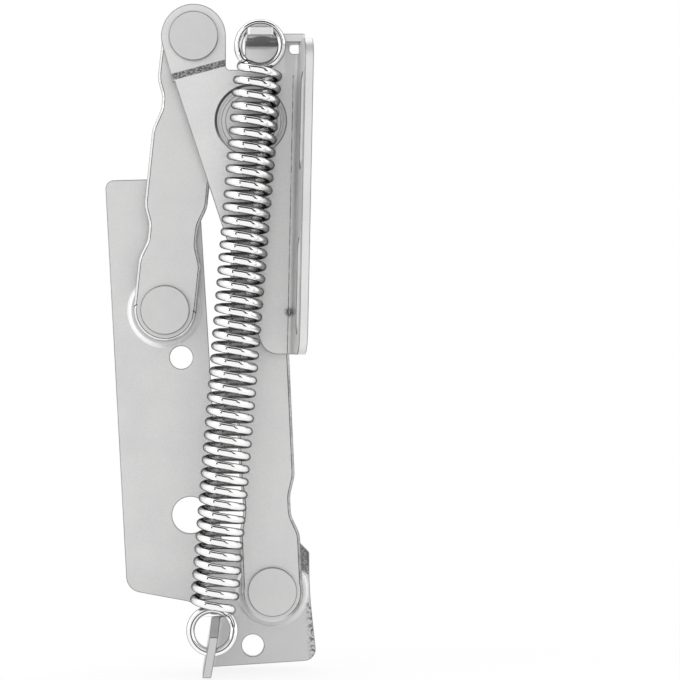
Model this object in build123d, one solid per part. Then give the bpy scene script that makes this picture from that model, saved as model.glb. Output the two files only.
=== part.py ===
from build123d import *
import math
import os

# A lift-up cabinet hinge: a base plate that is screwed to the cabinet side, two riveted arms,
# a bracket that is screwed to the door and a tension spring hooked across them.
# All lengths are millimetres. X runs out of the cabinet, Z is up, and the layers stack along -Y.
# A depth is a distance from the cabinet side, towards the viewer.
# The origin is the middle of the upper screw hole, on the face that lies against the cabinet side.

# Sheets and clearances
sheet = 2.0
arm_sheet = 2.0
washer_sheet = 0.4
running_gap = 0.05
fixed_gap = 0.02
body_gap = 0.35
bend_radius = 1.0
boss_rise = 1.6
step_back = 1.4
seam = 0.4

# Pivots
short_arm_base_x = -3.8
short_arm_base_z = 11.2
long_arm_base_x = 21.5
long_arm_base_z = -55.1
short_arm_length = 64.5
short_arm_tilt = 6.0
long_arm_length = 110.6
long_arm_tilt = -2.6

# Arms
arm_end_radius = 7.3
arm_curve = 6.0
arm_rim = 0.6
short_arm_half_width = 7.4
short_arm_neck = 5.8
long_arm_half_width = 6.5
long_arm_foot_half_width = 7.1
long_arm_neck = 5.2
long_arm_relief = 5.6

# Rivets and washers
shank_radius = 3.0
head_radius = 5.8
dimple_head_radius = 6.1
head_thickness = 1.0
head_chamfer = 0.25
tail_radius = 4.6
tail_thickness = 0.9
washer_radius = 6.6

# Pressed bosses
boss_top_radius = 7.9
boss_slope = 0.9
dimple_floor_radius = 7.2
press_wall = 1.1

# Base plate
plate_left_top = -18.1
plate_top_left = 42.0
plate_right_top = 4.1
plate_top_right = 42.6
plate_right_foot = 9.4
plate_left_foot = -12.9
plate_bottom_left = -55.2
plate_bottom_mid_x = 2.3
plate_bottom_mid_z = -58.0
foot_top = -43.8
foot_right = 30.4
foot_cut = 2.4
foot_flare_z = -55.0
foot_bottom_right_x = 32.2
foot_bottom_right_z = -71.8
foot_bottom = -73.4
small_corner = 2.0
large_corner = 3.8
screw_hole_radius = 2.7
lower_hole_radius = 2.6
lower_hole_x = 17.0
lower_hole_z = -68.3
locating_hole_radius = 4.35
locating_hole_x = 2.2
locating_hole_z = -37.4

# Spring
wire = 1.8
wire_sides = 5
coil_radius = 4.7
turns = 42
ring_radius = 5.0
ring_start = -111.0
ring_tuck_start = 165.0
ring_end = 235.0
ring_tuck = 2.2
lead_radius = 3.0
lead_rise = 5.8
lower_ring_x = 7.3
lower_ring_z = -63.0
ring_distance = 135.7
spring_tilt = 4.7
arc_reach = 1.49
gap_samples = 16

# Hook tab on the base plate
tab_lean = 10.0
tab_left_of_ring = 0.4
tab_top = -61.4
tab_fall = 2.6
tab_nose = 2.2
tab_relief = 0.4
hook_gap = 0.5

# Door bracket
ear_radius = 7.6
web_left_tilt = 18.3
web_bottom = 0.8
web_corner = 4.4
step_line_drop = 9.2
step_line_tilt = 15.0
step_run = 1.65
shoulder_z = 67.3
shoulder_x = 15.0
bracket_top = 71.7
bend_x_bottom = 24.9
bend_x_top = 26.4
flange_lean = 4.0
flange_depth = 25.9
flange_top = 73.2
flange_corner = 5.0
slot_length = 22.0
slot_width = 5.5
slot_edge = 5.2
upper_slot_z = 54.4
lower_slot_z = 16.5
relief_left = 25.4
relief_bottom = 71.0
relief_top = 73.3
relief_depth = 11.5
relief_corner = 0.9

# Hook tongue and top flange of the bracket
tongue_rise = 8.0
tongue_root_width = 6.9
tongue_neck_width = 3.6
tongue_head_width = 5.9
tongue_nose = 2.7
shelf_right = 28.9
shelf_setback = 0.5


def point(x, z):
    """A point on the front view."""
    return Vector(x, 0, z)


def direction(tilt):
    """The way that leans clockwise from straight up by tilt degrees, in the front view."""
    angle = math.radians(tilt)
    return point(math.sin(angle), math.cos(angle))


def front_plane(depth):
    """A plane drawn on as seen from the front, as X and Z."""
    return Plane(origin=(0, -depth, 0), x_dir=(1, 0, 0), z_dir=(0, -1, 0))


def side_plane(x):
    """A plane drawn on as seen from the right, as depth and Z, that extrudes to the left."""
    return Plane(origin=(x, 0, 0), x_dir=(0, -1, 0), z_dir=(-1, 0, 0))


def top_plane(z):
    """A plane drawn on as X and depth, that extrudes downwards."""
    return Plane(origin=(0, 0, z), x_dir=(1, 0, 0), z_dir=(0, 0, -1))


def turned(centre, section):
    """A round piece about a pivot, from its radii and depths."""
    whole = revolve(make_face(Polyline(*section, close=True)), Axis.Y)
    return Plane(origin=(centre.X, 0, centre.Z), x_dir=(1, 0, 0), z_dir=(0, 0, -1)) * whole


def disc(centre, back_radius, front_radius, back, front):
    """A round plug, straight or tapered, between two depths."""
    return turned(centre, [(0, back), (back_radius, back), (front_radius, front), (0, front)])


def rounded(corners, radii):
    """A closed outline with a rounding for each corner."""
    return make_face(FilletPolyline(*corners, radius=radii, close=True))


def flat(face, back, thickness):
    """A flat sheet of that outline."""
    return extrude(front_plane(back) * face, thickness)


def bent_leg(place, leg, lean, run):
    """A strip bent towards the viewer, leaning outwards, with a short seam of flat sheet before the bend."""
    outer = bend_radius + sheet
    angle = math.radians(lean)
    rise = Vector(math.sin(angle), math.cos(angle))
    reach = Vector(math.cos(angle), -math.sin(angle))
    middle = Vector(math.sin(math.pi / 4), -math.cos(math.pi / 4))
    centre = Vector(0, outer)
    outer_end = centre + outer * reach
    inner_end = centre + bend_radius * reach
    section = Curve() + [
        Line((-seam, 0), (0, 0)),
        ThreePointArc((0, 0), centre + outer * middle, outer_end),
        Line(outer_end, outer_end + leg * rise),
        Line(outer_end + leg * rise, inner_end + leg * rise),
        Line(inner_end + leg * rise, inner_end),
        ThreePointArc(inner_end, centre + bend_radius * middle, (0, sheet)),
        Line((0, sheet), (-seam, sheet)),
        Line((-seam, sheet), (-seam, 0)),
    ]
    return extrude(place * make_face(section), run)


# Places of the pivots and depths of the layers
short_arm_base = point(short_arm_base_x, short_arm_base_z)
long_arm_base = point(long_arm_base_x, long_arm_base_z)
short_arm_top = short_arm_base + short_arm_length * direction(short_arm_tilt)
long_arm_top = long_arm_base + long_arm_length * direction(long_arm_tilt)
boss_front = boss_rise + sheet
arm_back = boss_front + washer_sheet + running_gap
arm_front = arm_back + arm_sheet
ear_back = arm_front + running_gap + washer_sheet
ear_front = ear_back + sheet
web_back = ear_back + step_back
web_front = web_back + sheet
wire_corner_radius = wire * math.pi / (2 * wire_sides * math.sin(math.pi / wire_sides))
spring_depth = web_front + body_gap + coil_radius + wire_corner_radius
flange_outer = bend_radius + sheet
spring_up = direction(spring_tilt)
spring_side = direction(spring_tilt + 90)
viewer = Vector(0, -1, 0)
lower_ring = point(lower_ring_x, lower_ring_z) + spring_depth * viewer
upper_ring = lower_ring + ring_distance * spring_up
spring_middle = (lower_ring + upper_ring) * 0.5
lead_turn = math.acos(lead_radius / coil_radius)
coil_pitch = (ring_distance - 2 * lead_rise) / (turns + lead_turn / math.pi)
notch_back = spring_depth - wire_corner_radius - body_gap
notch_front = spring_depth + wire_corner_radius + body_gap
shelf_depth = notch_back - shelf_setback
tongue_depth = notch_front + tongue_nose


def arm(start, length, tilt, corners, radii):
    """An arm: a wavy strip between two round ends, with its front rim eased by the press."""
    place = front_plane(arm_back) * Pos(start.X, start.Z) * Rot(0, 0, -tilt)
    ends = Circle(arm_end_radius) + Pos(0, length) * Circle(arm_end_radius)
    body = extrude(place * (rounded(corners, radii) + ends), arm_sheet)
    front = body.faces().sort_by(Axis.Y)[0]
    body = chamfer(front.outer_wire().edges(), arm_rim)
    hole = Circle(shank_radius + running_gap)
    return body - extrude(place * (hole + Pos(0, length) * hole), arm_sheet)


def short_arm():
    """The upper arm, with two necks in its left edge and one in its right."""
    wide = short_arm_half_width
    neck = short_arm_neck
    top = short_arm_length
    left = [(-wide, 0), (-wide, 11.5), (-neck, 15.8), (-neck, 19.8), (-wide, 24.0)]
    left += [(-wide, top - 22.5), (-neck, top - 17.5), (-neck, top - 14.5), (-wide, top - 10.5)]
    right = [(wide, 25.0), (neck, 20.5), (neck, 15.7), (wide, 11.2), (wide, 0)]
    corners = left + [(-arm_end_radius, top), (arm_end_radius, top)] + right
    radii = [0] + [arm_curve] * 8 + [0, 0] + [arm_curve] * 4 + [0]
    return arm(short_arm_base, top, short_arm_tilt, corners, radii)


def long_arm():
    """The lower arm, with a broad foot and a shallow neck where the short arm comes to rest on it."""
    wide = long_arm_half_width
    foot = long_arm_foot_half_width
    neck = long_arm_neck
    top = long_arm_length
    left = [(-foot, 0), (-foot, 14.0), (-neck - 0.8, 18.6), (-neck - 0.8, 22.6), (-wide, 27.2)]
    left += [(-wide, top - 34.0), (-long_arm_relief, top - 29.0), (-long_arm_relief, top - 13.0)]
    left += [(-wide, top - 9.0), (-wide, top)]
    right = [(wide, top), (wide, 27.0), (neck, 22.4), (neck, 17.8), (foot, 13.2), (foot, 0)]
    radii = [0] + [arm_curve] * 8 + [0, 0] + [arm_curve] * 4 + [0]
    return arm(long_arm_base, top, long_arm_tilt, left + right, radii)


def tab_bend_x(z):
    """Where the flat of the base plate ends at the hook tab's leaning bend."""
    angle = math.radians(tab_lean)
    left = lower_ring_x - tab_left_of_ring + (z - lower_ring_z) * math.tan(angle)
    return left + flange_outer / math.cos(angle)


def base_outline():
    """The outline of the base plate: a long panel with a foot to its right."""
    relief_z = tab_top + tab_relief
    corners = [
        (plate_left_top, plate_top_left),
        (plate_right_top, plate_top_right),
        (plate_right_foot, foot_top),
        (foot_right - foot_cut, foot_top),
        (foot_right, foot_top - foot_cut),
        (foot_right, foot_flare_z),
        (foot_bottom_right_x, foot_bottom_right_z),
        (tab_bend_x(foot_bottom), foot_bottom),
        (tab_bend_x(tab_top), relief_z),
        (tab_bend_x(tab_top) - flange_outer, relief_z),
        (plate_bottom_mid_x, plate_bottom_mid_z),
        (plate_left_foot, plate_bottom_left),
    ]
    radii = [small_corner, small_corner, small_corner, 0.8, 0.8, 100, 2.8, 0, 0, 0.8, 8, large_corner]
    return rounded(corners, radii)


def hook_tab():
    """The tab bent forward from the foot, with a notch from below that the spring's lower ring sits in."""
    along = direction(tab_lean)
    outward = direction(tab_lean - 90)
    foot = point(tab_bend_x(foot_bottom), foot_bottom) - along
    place = Plane(origin=foot, x_dir=outward, z_dir=along)
    nose = notch_front + tab_nose
    strip = bent_leg(place, nose, 0, tab_top - foot_bottom + 2)
    bearing = lower_ring_z - ring_radius + wire_corner_radius + hook_gap
    profile = Polyline(
        (0, foot_bottom),
        (0, tab_top),
        (sheet, tab_top),
        (nose, tab_top - tab_fall),
        (nose, foot_bottom),
        (notch_front, foot_bottom),
        (notch_front, bearing),
        (notch_back, bearing),
        (notch_back, foot_bottom),
        close=True,
    )
    return strip & extrude(side_plane(foot_right) * make_face(profile), foot_right)


def base_plate():
    """The plate screwed to the cabinet side, with a pressed boss under each arm and the hook tab."""
    blank = flat(base_outline(), 0, sheet)
    body = blank + hook_tab()
    for centre in (short_arm_base, long_arm_base):
        foot = boss_top_radius + boss_slope
        body += disc(centre, foot, boss_top_radius, sheet, boss_front)
        body -= disc(centre, boss_top_radius, boss_top_radius - press_wall, 0, boss_rise)
        body -= disc(centre, shank_radius + fixed_gap, shank_radius + fixed_gap, 0, boss_front)
    body -= disc(point(0, 0), screw_hole_radius, screw_hole_radius, 0, sheet)
    body -= disc(point(lower_hole_x, lower_hole_z), lower_hole_radius, lower_hole_radius, 0, sheet)
    locating = point(locating_hole_x, locating_hole_z)
    return body - disc(locating, locating_hole_radius, locating_hole_radius, 0, sheet)


def web_left_x(z):
    """The left edge of the bracket, which touches the round of the ear."""
    angle = math.radians(web_left_tilt)
    touch_x = short_arm_top.X - ear_radius * math.cos(angle)
    touch_z = short_arm_top.Z - ear_radius * math.sin(angle)
    return touch_x + (touch_z - z) * math.tan(angle)


def step_line_z(x):
    """The height of the sloped step between the ear and the web."""
    rise = (x - short_arm_top.X) * math.tan(math.radians(step_line_tilt))
    return short_arm_top.Z - step_line_drop + rise


def ear():
    """The ear for the short arm, which steps back from the web."""
    right = short_arm_top.X + ear_radius
    left = web_left_x(step_line_z(short_arm_top.X) - 1)
    corners = [
        (web_left_x(short_arm_top.Z - ear_radius / 3), short_arm_top.Z - ear_radius / 3),
        (short_arm_top.X, short_arm_top.Z),
        (right, short_arm_top.Z),
        (right, step_line_z(right) - 1),
        (left, step_line_z(left) - 1),
    ]
    face = make_face(Polyline(*corners, close=True)) + Pos(short_arm_top.X, short_arm_top.Z) * Circle(ear_radius)
    blank = flat(face, ear_back, web_front - ear_back)
    start = point(left, step_line_z(left)) - 9 * direction(90 - step_line_tilt)
    place = Plane(origin=start, x_dir=direction(-step_line_tilt), z_dir=direction(90 - step_line_tilt))
    beyond = 3 * ear_radius
    profile = Polyline(
        (-seam, web_back),
        (0, web_back),
        (step_run, ear_back),
        (beyond, ear_back),
        (beyond, ear_front),
        (step_run, ear_front),
        (0, web_front),
        (-seam, web_front),
        close=True,
    )
    return blank & extrude(place * make_face(profile), 5 * ear_radius)


def web():
    """The flat of the bracket, from the step below the ear to the bends of its flanges."""
    left = web_left_x(step_line_z(0) - 0.5)
    right = short_arm_top.X + ear_radius
    foot = bend_x_bottom - web_left_x(web_bottom)
    corners = [
        (left, step_line_z(left)),
        (web_left_x(web_bottom), web_bottom),
        (bend_x_bottom, web_bottom),
        (bend_x_top, bracket_top),
        (shoulder_x, bracket_top),
        (shoulder_x, shoulder_z),
        (right, shoulder_z),
        (right, step_line_z(right)),
    ]
    radii = [0, min(web_corner, 0.9 * foot), 0, 0, 0, 1.0, 0.8, 0]
    return flat(rounded(corners, radii), web_back, sheet)


def side_flange():
    """The flange that the door is screwed to, with its two slots."""
    run = point(bend_x_top - bend_x_bottom, bracket_top - web_bottom)
    along = run.normalized()
    outward = Vector(along.Z, 0, -along.X)
    top = point(bend_x_bottom, web_bottom) + along * (flange_top - web_bottom + 1) + web_back * viewer
    strip = bent_leg(Plane(origin=top, x_dir=outward, z_dir=-along), flange_depth, flange_lean, run.length + 3)
    corners = [(0, web_bottom), (0, flange_top), (flange_depth, flange_top), (flange_depth, web_bottom)]
    face = rounded(corners, [0, 0, flange_corner, flange_corner])
    for height in (upper_slot_z, lower_slot_z):
        middle = Pos(flange_depth - slot_edge, height)
        face -= middle * SlotOverall(slot_length, slot_width, rotation=90)
    return strip & extrude(side_plane(2 * bend_x_top) * face, 2 * bend_x_top)


def top_flange():
    """The flange along the top of the bracket, with the tongue that the spring's upper ring hangs on."""
    place = Plane(origin=(shoulder_x - 1, -web_back, bracket_top), x_dir=(0, 0, 1), z_dir=(1, 0, 0))
    strip = bent_leg(place, tongue_depth, tongue_rise, shelf_right - shoulder_x + 2)
    middle = upper_ring.X
    root = tongue_root_width / 2
    neck = tongue_neck_width / 2
    head = tongue_head_width / 2
    corners = [
        (middle - root, 0),
        (middle - root, notch_back),
        (middle - neck, notch_back),
        (middle - neck, notch_front),
        (middle - head, notch_front),
        (middle - head, tongue_depth),
        (middle + head, tongue_depth),
        (middle + head, notch_front),
        (middle + neck, notch_front),
        (middle + neck, shelf_depth),
        (shelf_right, shelf_depth),
        (shelf_right, 0),
    ]
    radii = [0, 0.8, 0.5, 0.5, 0.5, 0.8, 0.8, 0.5, 0.5, 0.5, 0.8, 0]
    mask = extrude(top_plane(2 * bracket_top) * rounded(corners, radii), 2 * bracket_top)
    return strip & mask


def door_bracket():
    """The bracket screwed to the door: ear, web, dimple, side flange and top flange."""
    body = web() + ear() + side_flange() + top_flange()
    rim = dimple_floor_radius + boss_slope
    body += disc(long_arm_top, rim, rim + press_wall, ear_back, web_back)
    body -= disc(long_arm_top, dimple_floor_radius, rim, ear_front, web_front)
    for centre in (short_arm_top, long_arm_top):
        body -= disc(centre, shank_radius + fixed_gap, shank_radius + fixed_gap, ear_back, ear_front)
    corner = [(relief_left, relief_bottom), (relief_left, relief_top)]
    corner += [(shelf_right + sheet, relief_top), (shelf_right + sheet, relief_bottom)]
    return body - flat(rounded(corner, [relief_corner, relief_corner, 0, 0]), 0, relief_depth)


def washer(centre, back):
    """A thin washer round a rivet's shank."""
    inner = shank_radius + running_gap
    front = back + washer_sheet
    return turned(centre, [(inner, back), (washer_radius, back), (washer_radius, front), (inner, front)])


def tail_section(tail_back, shank_front):
    """The tail and shank of a rivet, from the tail's back to where the shank ends."""
    tail_front = tail_back + tail_thickness
    points = [(0, tail_back), (tail_radius, tail_back), (tail_radius, tail_front)]
    return points + [(shank_radius, tail_front), (shank_radius, shank_front)]


def head_section(head_back, radius):
    """The head of a rivet, from under its rim to its middle."""
    front = head_back + head_thickness
    rim = [(radius, head_back), (radius, front - head_chamfer)]
    return rim + [(radius - head_chamfer, front), (0, front)]


def spring_path():
    """The spring's middle line: a left-handed coil on arcs, with a loop turned on edge at each end."""
    half_span = math.pi * turns + lead_turn
    count = math.ceil(half_span / arc_reach)
    stations = [-half_span + 2 * half_span * step / count for step in range(count + 1)]
    rise = coil_pitch / (2 * math.pi)

    def coil_point(turn):
        across = coil_radius * (math.cos(turn) * viewer - math.sin(turn) * spring_side)
        return spring_middle + rise * turn * spring_up + across

    def coil_way(turn):
        across = coil_radius * (-math.sin(turn) * viewer - math.cos(turn) * spring_side)
        return (rise * spring_up + across).normalized()

    def ring_point(turn):
        return upper_ring + ring_radius * (math.cos(turn) * spring_side + math.sin(turn) * spring_up)

    def ring_way(turn):
        return math.cos(turn) * spring_up - math.sin(turn) * spring_side

    coil = []
    for first, last in zip(stations[:-1], stations[1:]):
        coil += biarc(coil_point(first), coil_way(first), coil_point(last), coil_way(last))
    start = math.radians(ring_start)
    tuck_start = math.radians(ring_tuck_start)
    finish = math.radians(ring_end)
    sweep_step = (tuck_start - start) / 3
    end = biarc(coil_point(half_span), coil_way(half_span), ring_point(start), ring_way(start))
    for step in range(3):
        turn = start + step * sweep_step
        end.append(Edge.make_tangent_arc(ring_point(turn), ring_way(turn), ring_point(turn + sweep_step)))
    behind = ring_point(finish) - ring_tuck * viewer
    end += biarc(ring_point(tuck_start), ring_way(tuck_start), behind, ring_way(finish))
    other_end = [edge.rotate(Axis(spring_middle, viewer), 180) for edge in end]
    return Wire(coil + end + other_end)


def biarc(start, start_way, end, end_way):
    """Two arcs that join two points and keep a given way at each."""
    both = start_way + end_way
    gap = end - start
    share = 2 * (1 - start_way.dot(end_way))
    reach = (-gap.dot(both) + math.sqrt(gap.dot(both) ** 2 + share * gap.dot(gap))) / share
    near = start + start_way * reach
    far = end - end_way * reach
    joint = (near + far) * 0.5
    first = Edge.make_tangent_arc(start, start_way, joint)
    return [first, Edge.make_tangent_arc(joint, (far - near).normalized(), end)]


def least_gap(path):
    """The least clear gap between curls, measured on points along the middle line."""
    edges = path.edges()
    places = [tuple(edge @ (step / gap_samples)) for edge in edges for step in range(gap_samples)]
    skip = 2 * gap_samples
    window = 14 * gap_samples
    least = ring_distance
    for index, place in enumerate(places):
        for other in places[index + skip : index + window]:
            least = min(least, math.dist(place, other))
    return least - 2 * wire_corner_radius


def tension_spring():
    """The spring: one wire swept through the lower ring, the coil and the upper ring."""
    path = spring_path()
    print("least gap of the spring to itself", round(least_gap(path), 2), "mm")
    print("tightest arc of the spring", round(min(edge.radius for edge in path.edges()), 3), "mm")
    print("curls", turns, "pitch", round(coil_pitch, 3), "mm")
    start = path @ 0
    section = Plane(origin=start, z_dir=path % 0) * RegularPolygon(wire_corner_radius, wire_sides)
    return sweep(section, path=path, clean=False)


short_arm_base_rivet = tail_section(boss_rise - tail_thickness, arm_front + running_gap)
short_arm_base_rivet += head_section(arm_front + running_gap, head_radius)
short_arm_bracket_rivet = tail_section(arm_back - running_gap - washer_sheet - tail_thickness, ear_front)
short_arm_bracket_rivet += head_section(ear_front, head_radius)
long_arm_bracket_tail = tail_section(arm_back - washer_sheet - tail_thickness, arm_front) + [(0, arm_front)]
long_arm_bracket_head = [(0, ear_back - washer_sheet), (shank_radius, ear_back - washer_sheet)]
long_arm_bracket_head += [(shank_radius, ear_front)] + head_section(ear_front, dimple_head_radius)

pieces = {
    "base_plate": base_plate(),
    "short_arm": short_arm(),
    "long_arm": long_arm(),
    "door_bracket": door_bracket(),
    "tension_spring": tension_spring(),
    "short_arm_base_rivet": turned(short_arm_base, short_arm_base_rivet),
    "long_arm_base_rivet": turned(long_arm_base, short_arm_base_rivet),
    "short_arm_bracket_rivet": turned(short_arm_top, short_arm_bracket_rivet),
    "long_arm_bracket_rivet": turned(long_arm_top, long_arm_bracket_head),
    "long_arm_bracket_rivet_tail": turned(long_arm_top, long_arm_bracket_tail),
    "short_arm_base_washer": washer(short_arm_base, boss_front),
    "long_arm_base_washer": washer(long_arm_base, boss_front),
    "short_arm_bracket_washer": washer(short_arm_top, ear_back - washer_sheet),
    "long_arm_bracket_washer": washer(long_arm_top, ear_back - washer_sheet),
    "short_arm_tail_washer": washer(short_arm_top, arm_back - running_gap - washer_sheet),
    "long_arm_tail_washer": washer(long_arm_top, arm_back - washer_sheet),
}
os.makedirs("parts", exist_ok=True)
for name, shape in pieces.items():
    export_step(shape, f"parts/{name}.step")
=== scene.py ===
"""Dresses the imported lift-up cabinet hinge.

The pressed sheet gets soft edges, the rivets are turned, the spring is wound from round wire, and
each piece gets a plated or drawn metal finish. A plain white studio and the camera stand round it.
Lengths are millimetres where a name or a docstring says so, and metres everywhere else.
"""
import logging
import math
from dataclasses import dataclass, field, replace
from enum import Enum, IntEnum
from typing import Callable, Iterable

import bmesh
import bpy
from mathutils import Euler, Matrix, Vector


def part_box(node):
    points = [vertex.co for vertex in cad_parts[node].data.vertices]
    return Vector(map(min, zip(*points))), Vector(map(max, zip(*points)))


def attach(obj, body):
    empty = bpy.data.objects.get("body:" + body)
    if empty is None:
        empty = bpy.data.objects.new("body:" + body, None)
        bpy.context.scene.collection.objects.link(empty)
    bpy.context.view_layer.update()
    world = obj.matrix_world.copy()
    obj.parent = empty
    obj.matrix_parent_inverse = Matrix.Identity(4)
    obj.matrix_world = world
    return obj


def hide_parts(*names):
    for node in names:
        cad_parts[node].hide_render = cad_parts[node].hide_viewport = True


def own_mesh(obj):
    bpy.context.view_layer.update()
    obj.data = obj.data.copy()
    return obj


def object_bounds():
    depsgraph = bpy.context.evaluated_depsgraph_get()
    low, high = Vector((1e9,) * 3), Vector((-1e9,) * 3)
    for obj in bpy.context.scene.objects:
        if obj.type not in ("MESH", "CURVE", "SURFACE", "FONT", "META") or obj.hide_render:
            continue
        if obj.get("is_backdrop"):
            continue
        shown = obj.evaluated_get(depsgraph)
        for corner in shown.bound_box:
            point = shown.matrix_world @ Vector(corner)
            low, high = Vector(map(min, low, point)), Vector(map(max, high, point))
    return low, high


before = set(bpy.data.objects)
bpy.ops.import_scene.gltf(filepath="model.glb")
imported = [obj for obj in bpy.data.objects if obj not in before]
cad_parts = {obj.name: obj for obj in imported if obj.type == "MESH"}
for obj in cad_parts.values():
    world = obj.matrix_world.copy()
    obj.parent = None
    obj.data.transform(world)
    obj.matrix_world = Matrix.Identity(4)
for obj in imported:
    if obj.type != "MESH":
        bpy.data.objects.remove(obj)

MM = 0.001
RIGHT = Vector((1.0, 0.0, 0.0))
UP = Vector((0.0, 0.0, 1.0))
VIEWER = Vector((0.0, -1.0, 0.0))
BEVEL_STEPS = 3

Colour = tuple[float, float, float]
Socket = bpy.types.NodeSocket

logging.basicConfig(level=logging.INFO, format="%(levelname)s %(message)s")
log = logging.getLogger("hinge")


class Body(Enum):
    """The moving bodies of the hinge."""

    BASE = "base"
    UPPER_ARM = "upper_arm"
    LOWER_ARM = "lower_arm"
    BRACKET = "bracket"
    SPRING = "spring"


class Slot(Enum):
    """The record's material slots, which no piece is given here."""

    SHEET = "plated_sheet"
    RIVET = "rivet"
    WIRE = "spring_wire"


class Coat(IntEnum):
    """The places of a piece's metals in its list of materials."""

    FACE = 0
    EDGE = 1
    RIM = 2


class RivetPart(Enum):
    """How much of a rivet a piece is."""

    WHOLE = "whole"
    HEAD = "head"
    TAIL = "tail"


@dataclass(frozen=True)
class Band:
    """A stretch between two values, mostly distances in millimetres, with blurred borders."""

    low: float
    high: float
    blur: float


def grey(level: float, warmth: float = 0.0) -> Colour:
    """A grey of that level whose blue is lower by warmth."""
    return (level, level, level - warmth)


def tilted(degrees: float) -> Vector:
    """The unit vector that leans clockwise by degrees from straight up in the front view."""
    angle = math.radians(degrees)
    return Vector((math.sin(angle), 0.0, math.cos(angle)))


def middle_of(node: str) -> Vector:
    """The middle of a CAD node's box."""
    low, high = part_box(node)
    return (low + high) / 2


def new_piece(name: str, mesh: bpy.types.Mesh) -> bpy.types.Object:
    """Puts a finished mesh into the scene at the origin.

    Args:
        name: the piece's name.
        mesh: its mesh, already in place.

    Returns:
        The new object.
    """
    piece = bpy.data.objects.new(name, mesh)
    bpy.context.scene.collection.objects.link(piece)
    return piece


def piece_of(name: str, shape: bmesh.types.BMesh) -> bpy.types.Object:
    """Makes a finished shape a piece of the scene.

    Args:
        name: the piece's name.
        shape: the shape, which is freed.

    Returns:
        The new object.
    """
    mesh = bpy.data.meshes.new(name)
    shape.to_mesh(mesh)
    shape.free()
    return new_piece(name, mesh)


def round_edges(shape: bmesh.types.BMesh, edges: list[bmesh.types.BMEdge], width: float,
                clamp: bool) -> None:
    """Rounds edges, smooths the shape and gives the rounded edges a coat of their own.

    Args:
        shape: what the edges belong to.
        edges: the edges.
        width: how far they are rounded, in millimetres.
        clamp: whether they give way where there is too little room.
    """
    rounded = bmesh.ops.bevel(shape, geom=edges, offset=width * MM, offset_type="OFFSET",
                              affect="EDGES", segments=BEVEL_STEPS, profile=0.5, material=-1,
                              clamp_overlap=clamp)
    for face in shape.faces:
        face.smooth = True
        face.material_index = Coat.FACE
    for face in rounded["faces"]:
        face.material_index = Coat.EDGE


def weigh_normals(piece: bpy.types.Object) -> None:
    """Keeps broad faces flat and lets narrow bevels carry the shading.

    Args:
        piece: the piece that gets the modifier.
    """
    weigh = piece.modifiers.new("weigh_normals", "WEIGHTED_NORMAL")
    weigh.mode = "FACE_AREA"
    weigh.keep_sharp = True


class NodeTree:
    """A node tree with short calls to add and join nodes."""

    def __init__(self, tree: bpy.types.NodeTree) -> None:
        """Takes hold of a material's or the world's tree."""
        self.nodes = tree.nodes
        self.links = tree.links

    def join(self, start: Socket, end: Socket) -> None:
        """Links an output to an input."""
        self.links.new(start, end)

    def combine(self, operation: str, first: Socket, second: Socket) -> Socket:
        """Works out one value from two.

        Args:
            operation: the sum that is done, as the Math node names it.
            first: the first value.
            second: the second value.

        Returns:
            The result.
        """
        result = self.nodes.new("ShaderNodeMath")
        result.operation = operation
        self.join(first, result.inputs[0])
        self.join(second, result.inputs[1])
        return result.outputs["Value"]

    def seen_directly(self) -> Socket:
        """Tells the rays that show a surface from those that light it.

        Returns:
            1 for camera, glossy and transmission rays and 0 for the rest.
        """
        rays = self.nodes.new("ShaderNodeLightPath").outputs
        shown = self.combine("MAXIMUM", rays["Is Camera Ray"], rays["Is Glossy Ray"])
        return self.combine("MAXIMUM", shown, rays["Is Transmission Ray"])


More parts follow.
